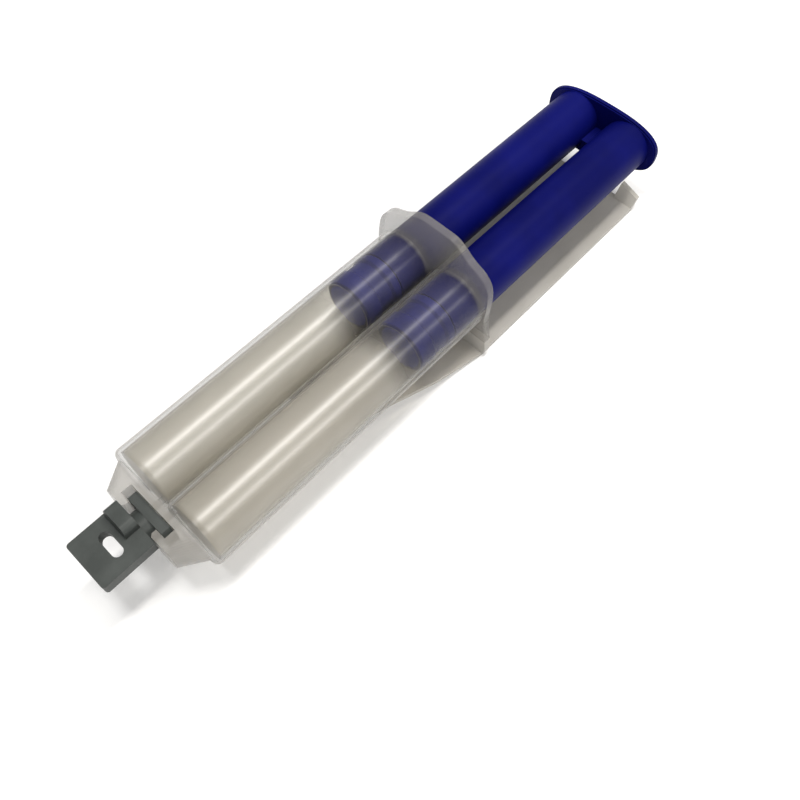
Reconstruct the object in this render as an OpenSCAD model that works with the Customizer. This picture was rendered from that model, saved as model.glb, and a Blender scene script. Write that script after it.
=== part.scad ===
// Two-part adhesive syringe: twin barrel, twin plunger with pistons, twist-off outlet plug
// +X runs from the outlet to the thumb plate, +Z is up, and the support plate's underside lies at z = 0

/* [Barrels] */
// Bore of each barrel
bore_d = 16; // [12:0.5:20]
// Wall of each barrel
barrel_wall = 1; // [0.8:0.1:1.3]
// Gap between the two tubes, bridged by the web
barrel_gap = 0.2; // [0.1:0.1:0.6]
// Length of the barrels in front of the finger flange
barrel_len = 90; // [70:1:120]
// Wall that closes the front of the barrels
front_wall = 1.6; // [1:0.1:2.4]
// Height of the web between the two tubes
web_h = 4; // [3:0.5:11]

/* [Finger flange] */
// Thickness of the finger flange
flange_t = 2.2; // [1.4:0.1:3]
// How far the flange stands above the barrels
flange_rise = 10.5; // [6:0.1:14]
// How far the flange stands out beside the barrels
flange_side = 0.7; // [0.4:0.1:3]
// How far the two finger ears stand out beside the flange
ear_side = 2.5; // [1:0.1:4]

/* [Support plate] */
// Thickness of the plate under the plunger
plate_t = 1.5; // [1:0.1:2]
// Clear height between the barrels and the plate
plate_gap = 6; // [4.6:0.1:8]
// Length of the flat plate behind the front of the flange
plate_len = 73; // [60:1:75]
// Length of the tapered tongue that runs up to the barrels
tongue_len = 48; // [30:1:60]
// Width of the tongue at its front end
tongue_w = 21; // [16:1:30]
// Width of the open notch between the two lugs
notch_w = 28; // [20:1:32]
// Height of the turned-up lugs beside the notch
lug_rise = 4.6; // [3:0.1:6]
// How far the lugs lean back
lug_run = 2.2; // [1:0.1:3]
// Fall of the lugs' upper edge towards the outside
lug_fall = 1.8; // [0.5:0.1:2.4]

/* [Outlet] */
// Thickness of the outlet block in front of the barrels
outlet_t = 1.8; // [1.4:0.1:6]
// Bore of each of the two outlets
outlet_d = 1.6; // [1:0.1:1.8]
// Length of the round outlet boss
boss_len = 1.8; // [1:0.1:2.2]
// Thickness of the hook lips
lip_t = 1.8; // [1.2:0.1:3]
// Gap between the two hook lips
lip_gap = 9.2; // [9:0.1:10.4]
// Width over the two hooks
hook_w = 23.8; // [20:0.2:28]
// Height of the hooks
hook_h = 10.8; // [8:0.2:12]

/* [Plug] */
// Diameter of the plug's locking flange
plug_flange_d = 14.4; // [13:0.1:15.5]
// Height of the locking flange across its two flats
plug_flange_h = 8.6; // [8:0.1:8.8]
// Thickness of the locking flange
plug_flange_t = 2.4; // [2.4:0.1:3.2]
// Diameter of the plug's neck
neck_d = 8.4; // [7:0.1:8.6]
// Length of the plug's neck in front of the hooks
neck_len = 4.6; // [3:0.1:7]
// Width of the flat tab
tab_w = 13.3; // [10:0.1:16]
// Thickness of the flat tab
tab_t = 3.4; // [2.4:0.1:4]
// Height of the tab's middle above the plug's axis
tab_lift = 3; // [0:0.1:3.4]
// Length of the tab in front of the neck
tab_len = 9; // [7:0.1:14]
// Length of the oblong hole across the tab
hole_len = 7; // [4:0.1:8]
// Width of the oblong hole
hole_w = 2.7; // [2:0.1:3.6]
// Width of the raised grip key on the tab
key_w = 7.4; // [5:0.1:8]
// Height of the grip key above the plug's axis
key_h = 8; // [6:0.1:9]

/* [Plunger] */
// Rear face of the flange to the thumb plate, at rest
thumb_out = 76.4; // [76:0.2:90]
// Thickness of the thumb plate
thumb_t = 2; // [1.6:0.1:3]
// How far the thumb plate stands out beside the rods
thumb_side = 2.4; // [1:0.1:4]
// How far the thumb plate stands above the rods
thumb_rise = 1; // [0.6:0.1:2.6]
// Gap all round between a rod and its bore
rod_gap = 0.3; // [0.25:0.05:0.6]
// Wall of the cored rods
rod_wall = 1.6; // [1.2:0.1:2.4]
// Length of the web that joins the rods at the thumb plate
bridge_len = 7.6; // [6:0.2:20]
// Height of that web, below the rods' axes
bridge_h = 4; // [2:0.2:7]

/* [Pistons] */
// Length of a piston
piston_len = 12.8; // [11:0.1:15]
// Front of the flange to the front of the pistons, at rest
piston_out = 22; // [18:0.5:50]
// Running gap between a seal and its bore
seal_gap = 0.05; // [0.02:0.01:0.1]
// Length of the front sealing land
land_len = 4.8; // [3:0.1:5.5]
// Length of the rear sealing land
seal_lip = 2; // [1:0.1:2.4]
// Depth of the groove between the seals
groove_depth = 0.7; // [0.4:0.1:1.2]
// Diameter of the rod's spigot in the piston
spigot_d = 9; // [6:0.2:10]
// Length of the spigot
spigot_len = 7; // [4:0.1:8]

/* [Hidden] */

// Smoothness of the round parts
$fn = 96;
// Overrun of every cut
cut = 1;
// Gap between parts that seat on each other without moving
seat_gap = 0.1;
// Gap between the hooks and the plug that turns behind them
turn_gap = 0.15;
// Running gap between the outlet boss and the plug that turns on it
boss_gap = 0.08;
// Wall left around the two outlets in the boss
boss_wall = 0.4;

// Tubes
bore_r = bore_d / 2;
tube_r = bore_r + barrel_wall;
pitch = 2 * tube_r + barrel_gap;
pair_half_w = pitch / 2 + tube_r;
// Round at the front edge of the tubes
tube_round = 1.5 * barrel_wall;

// Flange and plate heights, measured from the plane of the barrel axes
flange_top = tube_r + flange_rise;
flange_half_w = pair_half_w + flange_side;
ear_half_w = flange_half_w + ear_side;
plate_top = tube_r + plate_gap;
plate_low = plate_top + plate_t;
// Share of the ears' side reach that the plate takes up
plate_share = 0.72;
plate_half_w = flange_half_w + ear_side * plate_share;
ear_round = plate_t * 1.5;
// Shoulders of the flange from its top down: shares of its half width and of its height
flange_shares = [[0.1, 1], [0.29, 0.99], [0.43, 0.92], [0.56, 0.825], [0.67, 0.77], [0.78, 0.725],
                 [0.88, 0.645], [0.95, 0.54], [0.985, 0.4], [1, 0.2], [1, 0]];
// Points along each step of the shoulders
shoulder_steps = 4;
// Exponent of the thumb plate's outline: 2 is an ellipse
thumb_form_share = 2.7;
// Where the tongue's sides bend: shares of its length and of its taper
bend_share = [0.34, 0.24];
// Points along half an outline
arc_steps = 48;
// Points along the flare of an ear
flare_steps = 12;

// Outlet block, boss, hooks and plug seat
slot_t = plug_flange_t + 2 * turn_gap;
slot_half_w = plug_flange_d / 2 + 2 * turn_gap;
nose_len = outlet_t + slot_t + lip_t;
outlet_y = pitch / 2 - bore_r + seat_gap + outlet_d / 2;
boss_r = outlet_y + outlet_d / 2 + boss_wall;
nose_root_half_w = pitch / 2 + bore_r;
lip_lead = lip_t / 3;

// Plug
key_round = key_w / 4;
key_shift = key_w * 0.3;
key_slope = key_w / 6;
tab_round = tab_t / 4;
hole_land = tab_t / 5;
plug_front = barrel_len + nose_len + turn_gap + neck_len;

// Plunger and pistons
rod_r = bore_r - rod_gap;
core_r = rod_r - rod_wall;
thumb_x = flange_t + thumb_out;
thumb_edge = thumb_t / 5;
seal_r = bore_r - seal_gap;
socket_r = spigot_d / 2 + seat_gap;
piston_round = barrel_wall;
rod_front = piston_out - piston_len - seat_gap;

// Place of the flange's front face and the barrel axes, from the size of the whole
front_reach = plug_front + tab_len;
rear_reach = thumb_x + thumb_t;
flange_x = (front_reach - rear_reach) / 2;
axis_z = plate_low;

// Points of a rounded outline, from angle a to angle b
function rounded(half_w, half_h, form, a, b, steps) = [
    for (k = [0 : steps])
        let (t = a + (b - a) * k / steps)
        [half_w * sign(cos(t)) * pow(abs(cos(t)), 2 / form),
         half_h * sign(sin(t)) * pow(abs(sin(t)), 2 / form)]
];

// A point of the smooth line from b to c, with the neighbours a and d
function between(a, b, c, d, s) =
    b + (c - a) * s / 2 + (2 * a - 5 * b + 4 * c - d) * s * s / 2
    + (3 * b - a - 3 * c + d) * s * s * s / 2;

// A smooth line through a list of points, without its two end points
function smooth(points, steps) = [
    for (k = [1 : len(points) - 3])
        for (j = [0 : steps - 1])
            between(points[k - 1], points[k], points[k + 1], points[k + 2], j / steps)
];

// Smooth step from 0 to 1
function ease(s) = s * s * (3 - 2 * s);

// Points of a round corner about a centre
function corner(centre, r, a, b, steps) = [
    for (k = [0 : steps])
        let (t = a + (b - a) * k / steps)
        [centre[0] + r * cos(t), centre[1] + r * sin(t)]
];

// A list of outline points mirrored in the first axis and run backwards
function mirrored_x(points) = [
    for (k = [len(points) - 1 : -1 : 0]) [-points[k][0], points[k][1]]
];

// A list of outline points mirrored in the second axis and run backwards
function mirrored_y(points) = [
    for (k = [len(points) - 1 : -1 : 0]) [points[k][0], -points[k][1]]
];

// Moves parts from the flange's own frame to the part's frame
module placed() {
    translate([flange_x, 0, axis_z]) children();
}

// Repeats a part on both barrel axes
module on_both_axes() {
    for (side = [-1, 1])
        translate([0, side * pitch / 2, 0]) children();
}

// A round bar along X from one place to another
module bar(x_from, x_to, r) {
    translate([x_from, 0, 0])
        rotate([0, 90, 0])
            cylinder(h = x_to - x_from, r = r);
}

// An outline in Y and Z, extruded along X
module along_x(x_from, x_to) {
    translate([x_from, 0, 0])
        rotate([90, 0, 90])
            linear_extrude(x_to - x_from) children();
}

// A profile of radius over length, turned about X, with its front at x
module turned(x) {
    translate([x, 0, 0])
        rotate([0, 90, 0])
            rotate_extrude() children();
}

// Outline of the finger flange: a crest between two shoulders, and ears that flare down to the plate
module flange_outline() {
    flare_h = plate_low - ear_round;
    last = len(flange_shares) - 1;
    above = [-flange_shares[0][0], flange_shares[0][1]];
    below = 2 * flange_shares[last] - flange_shares[last - 1];
    shoulder = [
        for (share = smooth(concat([above], flange_shares, [below]), shoulder_steps))
            [share[0] * flange_half_w, share[1] * flange_top]
    ];
    flare = [
        for (k = [0 : flare_steps - 1])
            let (s = k / flare_steps)
            [flange_half_w + ear_side * ease(s), -flare_h * s]
    ];
    foot = corner([ear_half_w - ear_round, ear_round - plate_low], ear_round, 0, -90, flare_steps);
    right = concat(shoulder, flare, foot);
    polygon(concat(right, mirrored_x(right)));
}

// Plate under the plunger: a tongue up to the barrels, a flat run and two turned-up lugs
module support_plate() {
    plate_end = plate_len + lug_run;
    lug_top = lug_rise - plate_top;
    lean = lug_run / lug_rise;
    tongue_top = -tube_r + barrel_wall / 2;
    profile = [[-tongue_len, tongue_top], [0, -plate_top], [plate_len, -plate_top],
               [plate_end, lug_top], [plate_end + plate_t, lug_top],
               [plate_len + plate_t - lean * plate_t, -plate_low],
               [0, -plate_low], [-tongue_len, tongue_top - plate_t]];
    taper = plate_half_w - tongue_w / 2;
    side_line = [[-tongue_len, tongue_w / 2],
                 [-tongue_len * bend_share[0], plate_half_w - taper * bend_share[1]],
                 [0, plate_half_w],
                 [plate_end + plate_t, plate_half_w]];
    difference() {
        intersection() {
            rotate([90, 0, 0])
                linear_extrude(2 * plate_half_w, center = true)
                    polygon(profile);
            translate([0, 0, -plate_low - cut])
                linear_extrude(plate_low + cut)
                    polygon(concat(side_line, mirrored_y(side_line)));
        }
        along_x(plate_len - cut, plate_end + plate_t + cut)
            notch_outline(lug_top);
    }
}

// What is cut away between and above the lugs, in Y and Z
module notch_outline(lug_top) {
    right = [[notch_w / 2, -plate_top], [notch_w / 2, lug_top],
             [plate_half_w + cut, lug_top - lug_fall], [plate_half_w + cut, lug_top + cut]];
    polygon(concat(right, mirrored_x(right)));
}

// Outlet block that narrows to its two bayonet hooks, with round sides, and the boss between them
module nose() {
    root_x = tube_round - barrel_len;
    slot_x = -barrel_len - outlet_t;
    tip_x = slot_x - slot_t - lip_t;
    side_r = hook_h / 2;
    side = corner([nose_root_half_w - side_r, 0], side_r, -90, 90, 2 * flare_steps);
    narrowing = hook_w / 2 / nose_root_half_w;
    difference() {
        translate([root_x, 0, 0])
            rotate([90, 0, -90])
                linear_extrude(root_x - tip_x, scale = [narrowing, 1], slices = 1, $fn = flare_steps)
                    polygon(concat(side, mirrored_x(side)));
        linear_extrude(hook_h + cut, center = true)
            slot_outline(slot_x, tip_x);
    }
    bar(slot_x - boss_len, slot_x + cut, boss_r);
}

// Slot for a flange behind the two lips, seen from above, with a lead-in at the lips' front
module slot_outline(slot_x, tip_x) {
    lip_x = slot_x - slot_t;
    half = [[slot_x, slot_half_w], [lip_x, slot_half_w], [lip_x, lip_gap / 2],
            [tip_x + lip_lead, lip_gap / 2], [tip_x, lip_gap / 2 + lip_lead],
            [tip_x - cut, lip_gap / 2 + lip_lead]];
    polygon(concat(half, mirrored_y(half)));
}

// Outside of one closed barrel tube
module tube_outside() {
    front_edge = corner([tube_r - tube_round, tube_round], tube_round, -90, 0, flare_steps);
    turned(-barrel_len)
        polygon(concat([[0, 0]], front_edge, [[tube_r, barrel_len + flange_t], [0, barrel_len + flange_t]]));
}

module twin_barrel() {
    bore_end = front_wall - barrel_len;
    boss_front = -barrel_len - outlet_t - boss_len;
    color("#cfcac0", 0.7)
        placed()
            difference() {
                union() {
                    on_both_axes() tube_outside();
                    translate([tube_round - barrel_len, -pitch / 2, -web_h / 2])
                        cube([barrel_len, pitch, web_h]);
                    along_x(0, flange_t) flange_outline();
                    support_plate();
                    nose();
                }
                on_both_axes() bar(bore_end, flange_t + cut, bore_r);
                for (side = [-1, 1])
                    translate([0, side * outlet_y, 0])
                        bar(boss_front - cut, bore_end + cut, outlet_d / 2);
            }
}

// Outline of the thumb plate, drawn in by an inset
module thumb_outline(inset) {
    half_w = pitch / 2 + rod_r + thumb_side - inset;
    half_h = rod_r + thumb_rise - inset;
    polygon(rounded(half_w, half_h, thumb_form_share, 0, 360 - 180 / arc_steps, 2 * arc_steps - 1));
}

module twin_plunger() {
    spigot_front = rod_front + spigot_len;
    color("#141a78")
        placed()
            difference() {
                union() {
                    on_both_axes() {
                        bar(-rod_front, thumb_x + thumb_t / 2, rod_r);
                        bar(-spigot_front, cut - rod_front, spigot_d / 2);
                    }
                    translate([thumb_x - bridge_len, -pitch / 2, -bridge_h])
                        cube([bridge_len + thumb_t / 2, pitch, bridge_h]);
                    along_x(thumb_x, thumb_x + thumb_t) thumb_outline(thumb_edge);
                    along_x(thumb_x + thumb_edge, thumb_x + thumb_t - thumb_edge) thumb_outline(0);
                }
                on_both_axes() bar(2 * rod_wall - rod_front, thumb_x + thumb_t + cut, core_r);
            }
}

// One piston: a front land, a groove, a rear land and a socket for the rod's spigot
module piston() {
    lip_end = piston_len - piston_round / 2;
    lip_start = lip_end - seal_lip;
    socket_depth = spigot_len + seat_gap;
    turned(-piston_out)
        polygon([[0, 0], [seal_r - 2 * piston_round, 0], [seal_r - piston_round / 2, piston_round / 2],
                 [seal_r, 2 * piston_round], [seal_r, land_len],
                 [seal_r - groove_depth, land_len + groove_depth],
                 [seal_r - groove_depth, lip_start - groove_depth],
                 [seal_r, lip_start], [seal_r, lip_end],
                 [seal_r - piston_round / 2, piston_len], [socket_r, piston_len],
                 [socket_r, piston_len - socket_depth], [0, piston_len - socket_depth]]);
}

module resin_piston() {
    color("#1b2080") placed() translate([0, pitch / 2, 0]) piston();
}

module hardener_piston() {
    color("#1b2080") placed() translate([0, -pitch / 2, 0]) piston();
}

module outlet_plug() {
    seal_face = -barrel_len - outlet_t - turn_gap;
    flange_front = seal_face - plug_flange_t;
    neck_front = -plug_front;
    tab_front = neck_front - tab_len;
    hook_front = -barrel_len - nose_len - turn_gap;
    hole_x = neck_front - hole_land - hole_w / 2;
    color("#555957")
        placed()
            difference() {
                union() {
                    along_x(flange_front, seal_face)
                        intersection() {
                            circle(d = plug_flange_d);
                            square([plug_flange_d, plug_flange_h], center = true);
                        }
                    bar(neck_front, flange_front + plug_flange_t / 4, neck_d / 2);
                    translate([0, 0, tab_lift])
                        linear_extrude(tab_t, center = true)
                            tab_outline(tab_front, hook_front);
                    intersection() {
                        along_x(neck_front, hook_front) key_outline();
                        rotate([90, 0, 0])
                            linear_extrude(3 * key_w, center = true)
                                polygon([[neck_front, 0], [hook_front, 0], [hook_front, key_h],
                                         [neck_front + key_slope, key_h]]);
                    }
                }
                translate([0, 0, tab_lift])
                    linear_extrude(tab_t + 2 * cut, center = true)
                        oblong(hole_x, hole_len, hole_w);
                bar(seal_face - boss_len, seal_face + cut, boss_r + boss_gap);
            }
}

// Flat tab seen from above, with round front corners
module tab_outline(x_from, x_to) {
    front = concat(
        corner([x_from + tab_round, tab_w / 2 - tab_round], tab_round, 90, 180, flare_steps),
        corner([x_from + tab_round, tab_round - tab_w / 2], tab_round, 180, 270, flare_steps));
    polygon(concat(front, [[x_to, -tab_w / 2], [x_to, tab_w / 2]]));
}

// Oblong hole across the tab
module oblong(x, length, width) {
    for (side = [-1, 1])
        translate([x, side * (length - width) / 2]) circle(d = width);
    translate([x, 0]) square([width, length - width], center = true);
}

// Raised grip key on one side of the tab, with a round upper edge
module key_outline() {
    left = key_shift + key_w / 2;
    right = key_shift - key_w / 2;
    round_top = concat(
        corner([left - key_round / 2, key_h - key_round / 2], key_round / 2, 0, 90, flare_steps),
        corner([right + key_round, key_h - key_round], key_round, 90, 180, flare_steps));
    polygon(concat([[right, 0], [left, 0]], round_top));
}

// One charge of adhesive between the front wall and a piston
module charge() {
    bar(front_wall - barrel_len + seat_gap, -piston_out - seat_gap, bore_r - seat_gap);
}

module resin_fill() {
    color("#e8e0c8", 0.8) placed() translate([0, pitch / 2, 0]) charge();
}

module hardener_fill() {
    color("#e3d6b6", 0.8) placed() translate([0, -pitch / 2, 0]) charge();
}

twin_barrel();
twin_plunger();
resin_piston();
hardener_piston();
outlet_plug();
resin_fill();
hardener_fill();
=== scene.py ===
"""Looks of a two-part adhesive syringe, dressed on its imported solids."""

import bpy
from mathutils import Matrix, Quaternion, Vector


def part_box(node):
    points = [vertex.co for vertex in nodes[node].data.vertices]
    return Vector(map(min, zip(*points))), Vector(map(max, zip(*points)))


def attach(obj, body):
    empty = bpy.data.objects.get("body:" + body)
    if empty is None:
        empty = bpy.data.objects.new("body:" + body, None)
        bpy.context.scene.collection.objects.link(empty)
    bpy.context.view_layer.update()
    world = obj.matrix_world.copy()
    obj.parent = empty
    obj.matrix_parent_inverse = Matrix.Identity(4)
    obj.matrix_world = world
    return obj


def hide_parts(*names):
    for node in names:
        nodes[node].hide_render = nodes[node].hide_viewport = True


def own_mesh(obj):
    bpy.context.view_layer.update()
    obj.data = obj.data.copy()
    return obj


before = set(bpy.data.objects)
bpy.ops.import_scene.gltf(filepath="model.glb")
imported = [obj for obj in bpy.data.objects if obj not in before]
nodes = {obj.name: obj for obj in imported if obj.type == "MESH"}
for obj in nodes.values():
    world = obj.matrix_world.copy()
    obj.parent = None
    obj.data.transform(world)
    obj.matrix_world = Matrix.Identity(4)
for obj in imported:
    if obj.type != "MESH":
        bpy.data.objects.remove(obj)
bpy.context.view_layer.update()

# The frame is in metres, and places along the part are written here in millimetres
MM = 0.001
QUARTER_TURN = 1.570796
charge_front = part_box("resin_fill")[0][0] / MM
charge_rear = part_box("resin_fill")[1][0] / MM
piston_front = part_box("resin_piston")[0][0] / MM

# The barrel's finish changes over these short stretches, along X for flange and nose, along Z for the plate
FLANGE_BEGINS = (13.8, 14.6)
NOSE_ENDS = (charge_front - 2.0, charge_front - 0.4)
PLATE_ENDS = (6.2, 7.4)
# A charge clears over this stretch towards its piston, whose flat front has a stretch of its own for a
# brighter blue painted on as painted light
CHARGE_CLEARS = (charge_rear - 12.6, charge_rear - 1.6)
PISTON_FACE_PAINTED_LIGHT = (piston_front, piston_front + 0.22)

# Share of light that each surface of the barrel scatters
WALL_MILK = 0.035
FLANGE_MILK = 0.19
NOSE_MILK = 0.3
PLATE_MILK = 0.7
# Scattering and dimming of a wall that is seen at a steep slant, through more plastic
SLANT_MILK = 0.5
SLANT_PASSES = 0.55
EDGE_GLOSS = 0.6

CHARGE_ROUND = 1.2
FLOOR_REACH = 3.0
FLOOR_LIFT = 0.12
SKY_LEVEL = 0.38
LAMP_DISTANCE = 0.9

# The photograph's camera: place in millimetres, direction, roll in radians, lens and shift of its frame
CAMERA_PLACE = (-90.07, -73.55, 185.47)
CAMERA_AIM = (0.3807, 0.3343, -0.8622)
CAMERA_ROLL = 0.0432
CAMERA_LENS = 35.387
CAMERA_SHIFT = (0.0325, -0.043)


def colour(hex_value):
    """sRGB hex to the linear colour that a shader takes."""
    channels = [int(hex_value[k:k + 2], 16) / 255 for k in (1, 3, 5)]
    return [c / 12.92 if c <= 0.04045 else ((c + 0.055) / 1.055) ** 2.4 for c in channels] + [1.0]


def add(tree, kind, settings=None, inputs=None, links=None):
    """Adds one node with its settings, its socket values and its incoming links."""
    made = tree.nodes.new(kind)
    for name, value in (settings or {}).items():
        setattr(made, name, value)
    for socket, value in (inputs or {}).items():
        made.inputs[socket].default_value = value
    for socket, source in (links or {}).items():
        tree.links.new(source, made.inputs[socket])
    return made


def bare_tree(owner):
    """Turns on the nodes of a material or a world and empties its tree."""
    owner.use_nodes = True
    owner.node_tree.nodes.clear()
    return owner.node_tree


def new_material(name, surface):
    """A material with a Principled shader that holds the given values."""
    made = bpy.data.materials.new(name)
    tree = bare_tree(made)
    shader = add(tree, "ShaderNodeBsdfPrincipled", None, surface)
    add(tree, "ShaderNodeOutputMaterial", links={"Surface": shader.outputs["BSDF"]})
    return made, tree, shader


def cloudy_skin(tree, shader, grain_mm, depth_mm, patch_mm, tones):
    """Faint clouds between two tones and a finely uneven skin. Returns the place on the part."""
    place = add(tree, "ShaderNodeTexCoord").outputs["Object"]
    cloud = add(tree, "ShaderNodeTexNoise", None, {"Scale": 1 / (patch_mm * MM), "Detail": 3.0},
                {"Vector": place})
    tone = add(tree, "ShaderNodeValToRGB", links={"Fac": cloud.outputs["Fac"]})
    for stop, position, hex_value in zip(tone.color_ramp.elements, (0.35, 0.65), tones):
        stop.position = position
        stop.color = colour(hex_value)
    tree.links.new(tone.outputs["Color"], shader.inputs["Base Color"])
    skin = add(tree, "ShaderNodeTexNoise", None, {"Scale": 1 / (grain_mm * MM), "Detail": 2.0},
               {"Vector": place})
    bump = add(tree, "ShaderNodeBump", None, {"Strength": 0.35, "Distance": depth_mm * MM},
               {"Height": skin.outputs["Fac"]})
    tree.links.new(bump.outputs["Normal"], shader.inputs["Normal"])
    return place


def half_clear(tree, shader, glow_share, gloss_roughness):
    """Lets light through a shader that has its skin, and adds a glow from behind and a clear gloss.

    Returns the sockets of its milkiness, of the tint of what passes, and of its gloss seen head on.
    """
    surface = shader.outputs["BSDF"].links[0].to_socket
    tone = shader.inputs["Base Color"].links[0].from_socket
    normal = shader.inputs["Normal"].links[0].from_socket
    clear = add(tree, "ShaderNodeBsdfTransparent")
    glow = add(tree, "ShaderNodeBsdfTranslucent", links={"Color": tone, "Normal": normal})
    haze = add(tree, "ShaderNodeMixShader", None, {0: glow_share},
               {1: shader.outputs["BSDF"], 2: glow.outputs["BSDF"]})
    milky = add(tree, "ShaderNodeMixShader",
                links={1: clear.outputs["BSDF"], 2: haze.outputs["Shader"]})
    facing = add(tree, "ShaderNodeLayerWeight", None, {"Blend": 0.5}, {"Normal": normal})
    steep = add(tree, "ShaderNodeMath", {"operation": "POWER"}, {1: 5.0}, {0: facing.outputs["Facing"]})
    shine = add(tree, "ShaderNodeMapRange", None, {"To Max": EDGE_GLOSS}, {"Value": steep.outputs["Value"]})
    mirror = add(tree, "ShaderNodeBsdfAnisotropic", None,
                 {"Color": colour("#FFFFFF"), "Roughness": gloss_roughness}, {"Normal": normal})
    coated = add(tree, "ShaderNodeMixShader",
                 links={0: shine.outputs["Result"], 1: milky.outputs["Shader"], 2: mirror.outputs["BSDF"]})
    tree.links.new(coated.outputs["Shader"], surface)
    return milky.inputs[0], clear.inputs["Color"], shine.inputs["To Min"]


# Natural polypropylene, moulded: the thin tube walls are nearly clear with a warm haze, and the
# thicker flange, nose and plate turn milky
natural_pp, tree, shader = new_material("natural_polypropylene",
                                        {"Roughness": 0.55, "Specular IOR Level": 0.1})
place = cloudy_skin(tree, shader, grain_mm=3.0, depth_mm=0.012, patch_mm=16, tones=("#D0CCC3", "#DAD6CE"))
milkiness, tint, gloss = half_clear(tree, shader, glow_share=0.3, gloss_roughness=0.28)
gloss.default_value = 0.014
axes = add(tree, "ShaderNodeSeparateXYZ", links={"Vector": place})
zones = []
for axis, (low, high), before, after in (("X", FLANGE_BEGINS, WALL_MILK, FLANGE_MILK),
                                         ("X", NOSE_ENDS, NOSE_MILK, WALL_MILK),
                                         ("Z", PLATE_ENDS, PLATE_MILK, WALL_MILK)):
    zones.append(add(tree, "ShaderNodeMapRange", {"interpolation_type": "SMOOTHSTEP"},
                     {"From Min": low * MM, "From Max": high * MM, "To Min": before, "To Max": after},
                     {"Value": axes.outputs[axis]}))
thicker = add(tree, "ShaderNodeMath", {"operation": "MAXIMUM"}, None,
              {0: zones[0].outputs["Result"], 1: zones[1].outputs["Result"]})
thick = add(tree, "ShaderNodeMath", {"operation": "MAXIMUM"}, None,
            {0: thicker.outputs["Value"], 1: zones[2].outputs["Result"]})
# A wall seen at a slant scatters more and lets less through
slant = add(tree, "ShaderNodeLayerWeight", None, {"Blend": 0.5},
            {"Normal": shader.inputs["Normal"].links[0].from_socket})
longer = add(tree, "ShaderNodeMath", {"operation": "POWER"}, {1: 3.0}, {0: slant.outputs["Facing"]})
haze = add(tree, "ShaderNodeMapRange", None, {"To Max": SLANT_MILK}, {"Value": longer.outputs["Value"]})
milk = add(tree, "ShaderNodeMath", {"operation": "MAXIMUM"}, None,
           {0: thick.outputs["Value"], 1: haze.outputs["Result"]})
tree.links.new(milk.outputs["Value"], milkiness)
shaded = add(tree, "ShaderNodeMapRange", None,
             {"From Min": WALL_MILK, "From Max": 0.24, "To Min": 0.94, "To Max": 0.76},
             {"Value": thick.outputs["Value"]})
passed = add(tree, "ShaderNodeMapRange", None, {"To Min": 1.0, "To Max": SLANT_PASSES},
             {"Value": longer.outputs["Value"]})
dimmed = add(tree, "ShaderNodeMath", {"operation": "MULTIPLY"}, None,
             {0: shaded.outputs["Result"], 1: passed.outputs["Result"]})
tree.links.new(dimmed.outputs["Value"], tint)

# Blue polyolefin, moulded: deep ultramarine with a faint satin sheen along the rods
blue_rods, tree, shader = new_material("blue_polyolefin",
                                       {"Roughness": 0.46, "IOR": 1.5, "Specular IOR Level": 0.07})
cloudy_skin(tree, shader, grain_mm=1.2, depth_mm=0.03, patch_mm=18, tones=("#060A50", "#0A0F60"))

# Blue low-density polyethylene, moulded: the pistons' skin is duller, and their flat fronts, which sit in
# shade behind the hazy charge, are painted a brighter blue as painted light
blue_pistons, tree, shader = new_material("blue_soft_polyethylene",
                                          {"Roughness": 0.5, "IOR": 1.5, "Specular IOR Level": 0.2})
place = cloudy_skin(tree, shader, grain_mm=1.0, depth_mm=0.02, patch_mm=8, tones=("#0A1058", "#10166A"))
axes = add(tree, "ShaderNodeSeparateXYZ", links={"Vector": place})
# Painted light: the flat front fades to a painted brighter blue over this stretch, lifting the shade it sits
# in
painted_light_fade = add(tree, "ShaderNodeMapRange", {"interpolation_type": "SMOOTHSTEP"},
            {"From Min": PISTON_FACE_PAINTED_LIGHT[0] * MM, "From Max": PISTON_FACE_PAINTED_LIGHT[1] * MM, "To Min": 1.0, "To Max": 0.0},
            {"Value": axes.outputs["X"]})
painted_light_front = add(tree, "ShaderNodeMix", {"data_type": "RGBA"}, {"B": colour("#2E3CC0")},
           {"Factor": painted_light_fade.outputs["Result"], "A": shader.inputs["Base Color"].links[0].from_socket})
tree.links.new(painted_light_front.outputs["Result"], shader.inputs["Base Color"])

# Grey polypropylene, moulded: the plug is a dark neutral grey, dull with a fine erosion texture
grey_plug, tree, shader = new_material("grey_polypropylene",
                                       {"Roughness": 0.45, "IOR": 1.49, "Specular IOR Level": 0.35})
cloudy_skin(tree, shader, grain_mm=0.6, depth_mm=0.05, patch_mm=6, tones=("#3C403E", "#484C4A"))


def adhesive(name, tones, tint_hex):
    """A thick hazy liquid with a soft sheen, which clears close to its piston."""
    made, tree, shader = new_material(name, {})
    place = cloudy_skin(tree, shader, grain_mm=6.0, depth_mm=0.02, patch_mm=20, tones=tones)
    milkiness, tint, gloss = half_clear(tree, shader, glow_share=0.5, gloss_roughness=0.36)
    tint.default_value = colour(tint_hex)
    axes = add(tree, "ShaderNodeSeparateXYZ", links={"Vector": place})
    low, high = CHARGE_CLEARS
    for socket, deep, at_piston in ((milkiness, 0.68, 0.02), (gloss, 0.11, 0.005)):
        fade = add(tree, "ShaderNodeMapRange", {"interpolation_type": "SMOOTHSTEP"},
                   {"From Min": low * MM, "From Max": high * MM, "To Min": deep, "To Max": at_piston},
                   {"Value": axes.outputs["X"]})
        tree.links.new(fade.outputs["Result"], socket)
    return made


# Liquid epoxy resin: thick and hazy, with a faint warm tint
resin_liquid = adhesive("liquid_epoxy_resin", ("#E3DFD4", "#ECE8DE"), "#EAE8E2")

# Liquid amine hardener: as thick, with a slightly deeper tint
hardener_liquid = adhesive("liquid_amine_hardener", ("#E1DCD0", "#EAE5DA"), "#E9E6DF")

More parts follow.
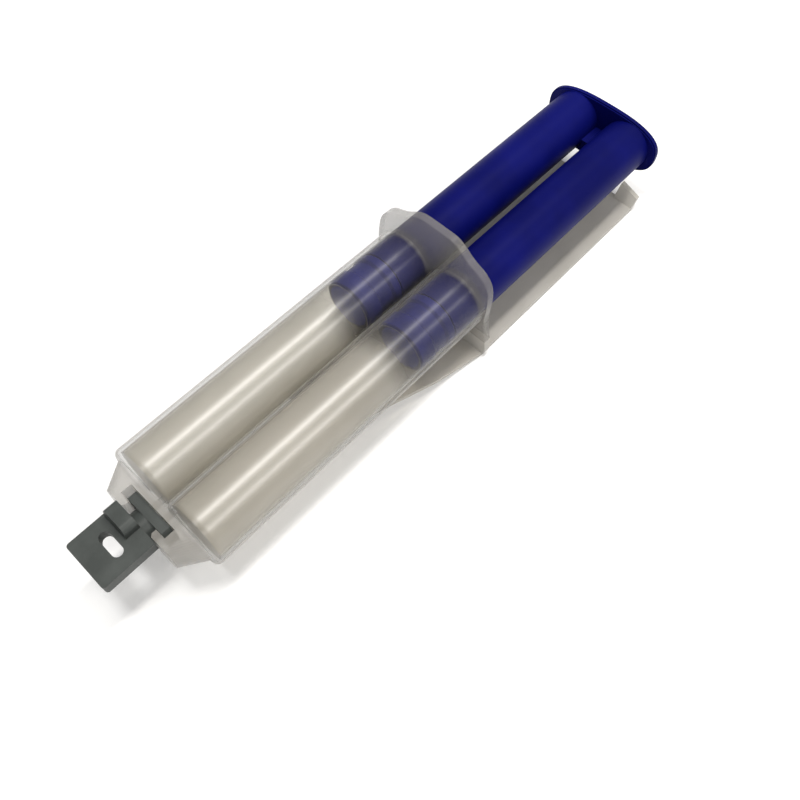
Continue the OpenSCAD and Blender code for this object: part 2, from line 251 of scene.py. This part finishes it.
for name, finish in (("twin_barrel", natural_pp), ("twin_plunger", blue_rods),
                     ("resin_piston", blue_pistons), ("hardener_piston", blue_pistons),
                     ("outlet_plug", grey_plug), ("resin_fill", resin_liquid),
                     ("hardener_fill", hardener_liquid)):
    nodes[name].data.materials.clear()
    nodes[name].data.materials.append(finish)


def charge_tree():
    """Geometry tree of a charge of adhesive: a round body along X whose two ends are rounded off."""
    tree = bpy.data.node_groups.new("adhesive_charge", "GeometryNodeTree")
    for name, kind in (("Radius", "NodeSocketFloat"), ("Length", "NodeSocketFloat"),
                       ("End round", "NodeSocketFloat"), ("Finish", "NodeSocketMaterial")):
        tree.interface.new_socket(name, in_out="INPUT", socket_type=kind)
    tree.interface.new_socket("Geometry", in_out="OUTPUT", socket_type="NodeSocketGeometry")
    given = add(tree, "NodeGroupInput").outputs
    body = add(tree, "GeometryNodeMeshCylinder", {"fill_type": "TRIANGLE_FAN"},
               {"Vertices": 96, "Side Segments": 64, "Fill Segments": 3},
               {"Radius": given["Radius"], "Depth": given["Length"]})
    at = add(tree, "ShaderNodeSeparateXYZ", links={0: add(tree, "GeometryNodeInputPosition").outputs[0]})

    # Each step names its result. The rings crowd towards the ends, where the round needs them, and
    # each ring there narrows as the round's quarter circle does
    known = {"radius": given["Radius"], "length": given["Length"], "round": given["End round"],
             "x": at.outputs["X"], "y": at.outputs["Y"], "z": at.outputs["Z"]}
    for result, operation, *terms in (("half", "MULTIPLY", "length", 0.5),
                                      ("share", "DIVIDE", "z", "half"),
                                      ("angle", "MULTIPLY", "share", QUARTER_TURN),
                                      ("crowded", "SINE", "angle"),
                                      ("along", "MULTIPLY", "crowded", "half"),
                                      ("from middle", "ABSOLUTE", "along"),
                                      ("straight", "SUBTRACT", "half", "round"),
                                      ("into round", "SUBTRACT", "from middle", "straight"),
                                      ("round share", "DIVIDE", "into round", "round"),
                                      ("not before", "MAXIMUM", "round share", 0.0),
                                      ("turn", "MINIMUM", "not before", 1.0),
                                      ("turn squared", "MULTIPLY", "turn", "turn"),
                                      ("rest squared", "SUBTRACT", 1.0, "turn squared"),
                                      ("height", "SQRT", "rest squared"),
                                      ("drop", "SUBTRACT", 1.0, "height"),
                                      ("steepness", "DIVIDE", "round", "radius"),
                                      ("loss", "MULTIPLY", "drop", "steepness"),
                                      ("narrow", "SUBTRACT", 1.0, "loss"),
                                      ("across", "MULTIPLY", "x", "narrow"),
                                      ("up", "MULTIPLY", "y", "narrow")):
        numbers = {k: term for k, term in enumerate(terms) if not isinstance(term, str)}
        sources = {k: known[term] for k, term in enumerate(terms) if isinstance(term, str)}
        known[result] = add(tree, "ShaderNodeMath", {"operation": operation}, numbers, sources).outputs[0]

    spot = add(tree, "ShaderNodeCombineXYZ",
               links={"X": known["along"], "Y": known["across"], "Z": known["up"]})
    moved = add(tree, "GeometryNodeSetPosition",
                links={"Geometry": body.outputs["Mesh"], "Position": spot.outputs["Vector"]})
    smooth = add(tree, "GeometryNodeSetShadeSmooth", links={"Geometry": moved.outputs["Geometry"]})
    whole = add(tree, "GeometryNodeRealizeInstances", links={"Geometry": smooth.outputs["Geometry"]})
    dressed = add(tree, "GeometryNodeSetMaterial",
                  links={"Geometry": whole.outputs["Geometry"], "Material": given["Finish"]})
    add(tree, "NodeGroupOutput", links={"Geometry": dressed.outputs["Geometry"]})
    return tree


def made_by(tree, name, values):
    """Runs a geometry tree with its named values and returns the plain mesh."""
    holder = bpy.data.objects.new(name + "_maker", bpy.data.meshes.new(name + "_maker"))
    bpy.context.scene.collection.objects.link(holder)
    maker = holder.modifiers.new("maker", "NODES")
    maker.node_group = tree
    for item in tree.interface.items_tree:
        if item.in_out == "INPUT":
            maker[item.identifier] = values[item.name]
    ready = holder.evaluated_get(bpy.context.evaluated_depsgraph_get())
    mesh = bpy.data.meshes.new_from_object(ready)
    holder.modifiers.remove(maker)
    bpy.data.objects.remove(holder)
    return mesh


# Each charge is rebuilt with rounded ends and rides with the barrel; in use it would shorten towards the
# front wall as the plunger goes in
charge_maker = charge_tree()
for name, finish, slot in (("resin_fill", resin_liquid, "resin"),
                           ("hardener_fill", hardener_liquid, "hardener")):
    low, high = (Vector(corner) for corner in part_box(name))
    mesh = made_by(charge_maker, name, {"Radius": (high.z - low.z) / 2, "Length": high.x - low.x,
                                        "End round": CHARGE_ROUND * MM, "Finish": finish})
    mesh.transform(Matrix.Translation((low + high) / 2))
    charge = bpy.data.objects.new(name + "_liquid", mesh)
    bpy.context.scene.collection.objects.link(charge)
    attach(charge, "barrel")
    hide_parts(name)
    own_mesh(charge)


# Pale paper floor that the camera sees as white out to its far edge, with the object's soft shadow on it
floor_paper = bpy.data.materials.new("white_floor")
tree = bare_tree(floor_paper)
path = add(tree, "ShaderNodeLightPath")
paper = add(tree, "ShaderNodeBsdfDiffuse", None, {"Color": colour("#F0F0F0")})
away = add(tree, "ShaderNodeVectorMath", {"operation": "LENGTH"}, None,
           {0: add(tree, "ShaderNodeTexCoord").outputs["Object"]})
paler = add(tree, "ShaderNodeMapRange", {"interpolation_type": "SMOOTHSTEP"},
            {"From Min": 250 * MM, "From Max": 1200 * MM, "To Min": FLOOR_LIFT, "To Max": 1.0},
            {"Value": away.outputs["Value"]})
seen = add(tree, "ShaderNodeMath", {"operation": "MULTIPLY"}, None,
           {0: path.outputs["Is Camera Ray"], 1: paler.outputs["Result"]})
lift = add(tree, "ShaderNodeEmission", None, {"Color": colour("#FFFFFF")},
           {"Strength": seen.outputs["Value"]})
both = add(tree, "ShaderNodeAddShader", links={0: paper.outputs["BSDF"], 1: lift.outputs["Emission"]})
add(tree, "ShaderNodeOutputMaterial", links={"Surface": both.outputs["Shader"]})

floor_mesh = bpy.data.meshes.new("floor")
corners = [(FLOOR_REACH * x, FLOOR_REACH * y, 0) for x, y in ((-1, -1), (1, -1), (1, 1), (-1, 1))]
floor_mesh.from_pydata(corners, [], [(0, 1, 2, 3)])
floor_mesh.materials.append(floor_paper)
floor = bpy.data.objects.new("floor", floor_mesh)
bpy.context.scene.collection.objects.link(floor)

# Even white surroundings, seen at full white and lighting the object at a lower level
world = bpy.data.worlds.new("white_studio")
bpy.context.scene.world = world
tree = bare_tree(world)
path = add(tree, "ShaderNodeLightPath")
seen = add(tree, "ShaderNodeMath", {"operation": "MAXIMUM"}, None,
           {0: path.outputs["Is Camera Ray"], 1: path.outputs["Is Transmission Ray"]})
level = add(tree, "ShaderNodeMapRange", None, {"To Min": SKY_LEVEL, "To Max": 1.0},
            {"Value": seen.outputs["Value"]})
sky = add(tree, "ShaderNodeBackground", None, {"Color": colour("#FFFFFF")},
          {"Strength": level.outputs["Result"]})
add(tree, "ShaderNodeOutputWorld", links={"Surface": sky.outputs["Background"]})


def strip_lamp(name, toward, length, width, power, tint_hex, glossy=True):
    """An area lamp that looks at the syringe from one direction, its long side along the barrels."""
    data = bpy.data.lights.new(name, "AREA")
    data.shape = "RECTANGLE"
    data.size = length
    data.size_y = width
    data.energy = power
    data.color = colour(tint_hex)[:3]
    lamp = bpy.data.objects.new(name, data)
    back = Vector(toward).normalized()
    side = (Vector((1, 0, 0)) - back * back.x).normalized()
    lamp.location = back * LAMP_DISTANCE
    lamp.rotation_euler = Matrix((side, back.cross(side), back)).transposed().to_euler()
    lamp.visible_glossy = glossy
    bpy.context.scene.collection.objects.link(lamp)


strip_lamp("key_window", (0.2, 0.02, 0.97), length=0.7, width=0.08, power=4.6, tint_hex="#FFFCF7")
strip_lamp("side_window", (0.2, -0.62, 0.74), length=0.7, width=0.07, power=2.6, tint_hex="#FFFCF7")
# A small lamp for the shadow's edge, which leaves no reflection
strip_lamp("shade_window", (-0.1, 0.1, 1.0), length=0.16, width=0.16, power=2.2, tint_hex="#FFFFFF",
           glossy=False)

view = bpy.data.cameras.new("photo_view")
view.lens = CAMERA_LENS
view.sensor_width = 36.0
view.shift_x, view.shift_y = CAMERA_SHIFT
view.clip_start = 0.01
camera = bpy.data.objects.new("photo_view", view)
camera.location = Vector(CAMERA_PLACE) * MM
aim = Vector(CAMERA_AIM).to_track_quat("-Z", "Y")
camera.rotation_euler = (aim @ Quaternion((0, 0, 1), CAMERA_ROLL)).to_euler()
bpy.context.scene.collection.objects.link(camera)
bpy.context.scene.camera = camera
bpy.context.scene.view_settings.view_transform = "Standard"
